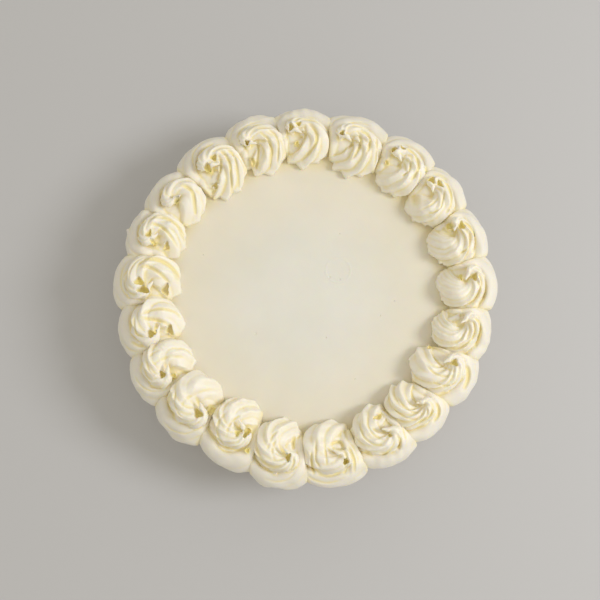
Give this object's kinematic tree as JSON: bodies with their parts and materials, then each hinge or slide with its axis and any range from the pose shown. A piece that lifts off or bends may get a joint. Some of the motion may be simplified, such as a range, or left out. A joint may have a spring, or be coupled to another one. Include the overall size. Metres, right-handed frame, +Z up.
{
  "type": "cheesecake",
  "caption": "Round whole cheesecake with a crumb base, a flat pale top and a ring of piped cream swirls along its edge.",
  "frame": {"origin": "centre of the round underside, on the surface that the cake stands on", "axes": "+Z up out of the flat top; +Y away from the viewer of the picture, +X to the viewer's right"},
  "size_m": [0.2609, 0.2608, 0.0723],
  "materials": {
    "cream": "soft whipped cream, satin, slightly translucent",
    "filling": "smooth pale cream cheese, satin, slightly translucent",
    "crumb_base": "pressed biscuit crumb, rough"
  },
  "bodies": {
    "root": {"crust": "crumb_base", "filling": "filling", "swirl_01": "cream", "swirl_02": "cream", "swirl_03": "cream", "swirl_04": "cream", "swirl_05": "cream", "swirl_06": "cream", "swirl_07": "cream", "swirl_08": "cream", "swirl_09": "cream", "swirl_10": "cream", "swirl_11": "cream", "swirl_12": "cream", "swirl_13": "cream", "swirl_14": "cream", "swirl_15": "cream", "swirl_16": "cream", "swirl_17": "cream", "swirl_18": "cream", "swirl_19": "cream", "swirl_20": "cream", "swirl_21": "cream"}
  },
  "joints": []
}
